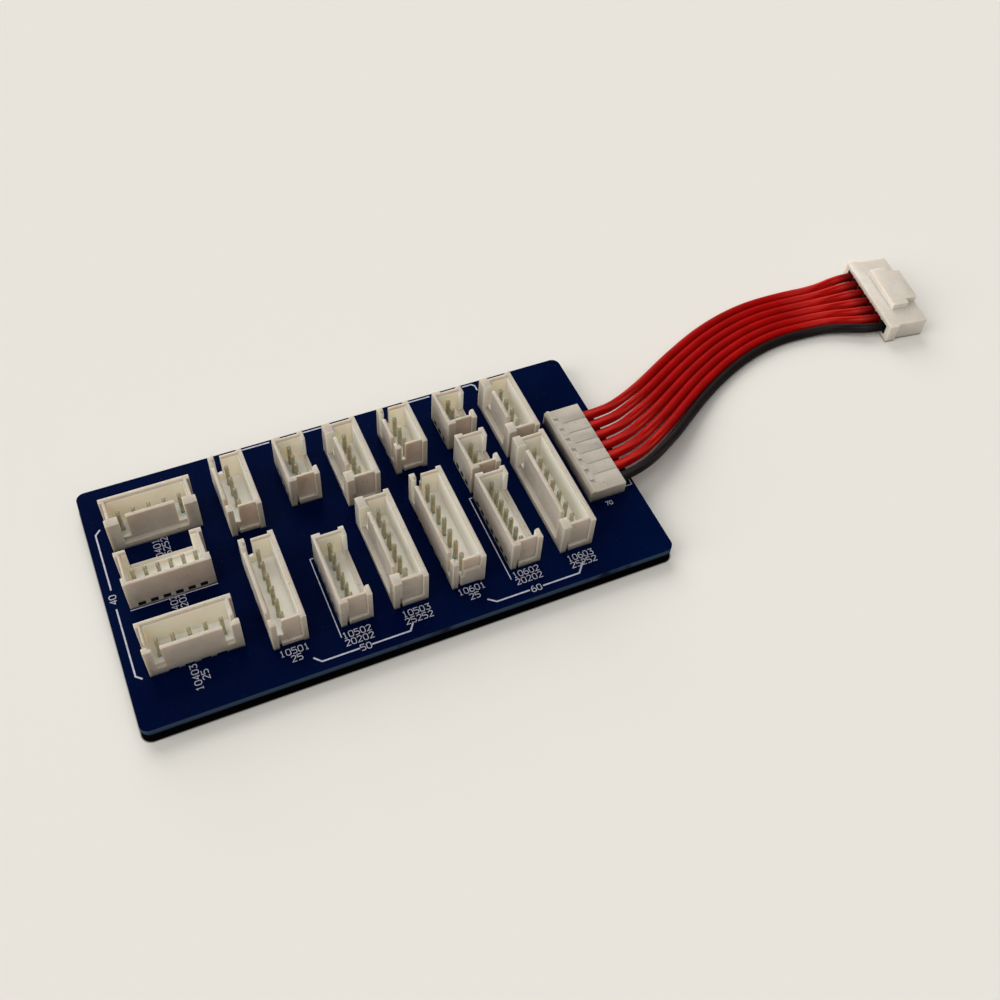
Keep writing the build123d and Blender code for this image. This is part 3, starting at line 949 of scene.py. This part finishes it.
def number(text, x, y, turn, height):
    """The strokes of a row of digits, centred on x, y and turned by whole degrees."""
    unit = height / glyph_height
    start = -((len(text) - 1) * glyph_step + glyph_width) / 2
    c, s = math.cos(math.radians(turn)), math.sin(math.radians(turn))
    shapes = []
    for i, digit in enumerate(text):
        for line in digit_strokes[digit]:
            points = (np.array(line, dtype=float) + (start + i * glyph_step, -glyph_height / 2)) * unit
            turned = points @ np.array([[c, s], [-s, c]]) + (x, y)
            shapes.append(printed(turned, digit_stroke))
    return shapes


def make_print():
    """All the board's ink as one piece: brackets, outlines, labels and the groups' numbers."""
    shapes = [printed(path, bracket_width) for path in brackets]
    shapes += [printed(path, outline_width) for path in outlines]
    for upper, lower, x, y, turn in labels:
        c, s = math.cos(math.radians(turn)), math.sin(math.radians(turn))
        shapes += number(upper, x - s * row_offset, y + c * row_offset, turn, digit_height)
        shapes += number(lower, x + s * row_offset, y - c * row_offset, turn, digit_height)
    for text, x, y, turn, height in group_numbers:
        shapes += number(text, x, y, turn, height)
    return finished("printed_marks", *joined(shapes), printed_ink, smooth=False)


marks = make_print()
outward(marks)
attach(marks, "root")


# Floor, backdrop and light

floor_reach = 1500
floor_colour = (0.8, 0.782, 0.735)
# Colour of the painted shadow below the board
painted_shadow_colour = (0.003, 0.003, 0.003)
backdrop_colour = (0.807, 0.776, 0.708)
light_colour = (1.0, 0.985, 0.96)


def under_board(tree):
    """The mask of the painted shadow: 1 on the floor below the board and 0 outside it. With p the place
    and h the board's half size less the corner's radius, the distance is the length of max(|p| - h, 0)."""
    place = add(tree, "ShaderNodeTexCoord").outputs["Object"]
    half = ((-board_left - board_corner) * mm, (-board_near - board_corner) * mm, 0.0)
    vector_math = "ShaderNodeVectorMath"
    mirrored = add(tree, vector_math, {0: place}, operation="ABSOLUTE")
    beyond = add(tree, vector_math, {0: mirrored.outputs["Vector"], 1: half}, operation="SUBTRACT")
    outer = add(tree, vector_math, {0: beyond.outputs["Vector"], 1: (0, 0, 0)}, operation="MAXIMUM")
    distance = add(tree, vector_math, {0: outer.outputs["Vector"]}, operation="LENGTH")
    return within(tree, distance.outputs["Value"], board_corner + 0.1, board_corner + 0.4)


def make_floor():
    """A plain pale floor with a painted shadow below the board, where no light reaches in the photograph.
    """
    corners = [(-1, -1, 0), (1, -1, 0), (1, 1, 0), (-1, 1, 0)]
    material, tree = new_material("pale_floor", Roughness=0.9, Specular_IOR_Level=0.0)
    # Painted shadow below the board
    feed(tree, {"Base Color": mixed(tree, under_board(tree), floor_colour, painted_shadow_colour)})
    floor = finished("floor", np.array(corners) * floor_reach, [(0, 1, 2, 3)], material, smooth=False)


def make_world(strength):
    """A faint even light, and the backdrop that the camera, reflections and glass see."""
    world = bpy.data.worlds.new("studio")
    bpy.context.scene.world = world
    world.use_nodes = True
    tree = world.node_tree
    lighting = tree.nodes["Background"]
    lighting.inputs["Color"].default_value = (*light_colour, 1)
    lighting.inputs["Strength"].default_value = strength
    backdrop = add(tree, "ShaderNodeBackground", {"Color": (*backdrop_colour, 1), "Strength": 1.0})
    rays = add(tree, "ShaderNodeLightPath").outputs
    reflected = worked(tree, "MAXIMUM", rays["Is Glossy Ray"], rays["Is Transmission Ray"])
    seen = worked(tree, "MAXIMUM", rays["Is Camera Ray"], reflected)
    either = add(tree, "ShaderNodeMixShader", {0: seen, 1: lighting.outputs[0], 2: backdrop.outputs[0]})
    tree.links.new(either.outputs[0], tree.nodes["World Output"].inputs["Surface"])


def make_sun(name, towards, strength, angle):
    """A broad lamp; towards is the direction from the object to it."""
    lamp = bpy.data.lights.new(name, "SUN")
    lamp.energy = strength
    lamp.angle = math.radians(angle)
    lamp.color = light_colour
    sun = bpy.data.objects.new(name, lamp)
    bpy.context.collection.objects.link(sun)
    sun.rotation_euler = Vector(towards).to_track_quat("Z", "Y").to_euler()
    sun.location = Vector(towards).normalized()


make_floor()
make_world(0.15)
make_sun("back_lamp", (-0.05, 0.78, 0.62), 1.85, 50)
make_sun("left_lamp", (-0.84, 0.02, 0.54), 1.4, 45)
make_sun("overhead_lamp", (-0.1, -0.38, 0.92), 0.85, 60)

bpy.context.scene.view_settings.view_transform = "Standard"
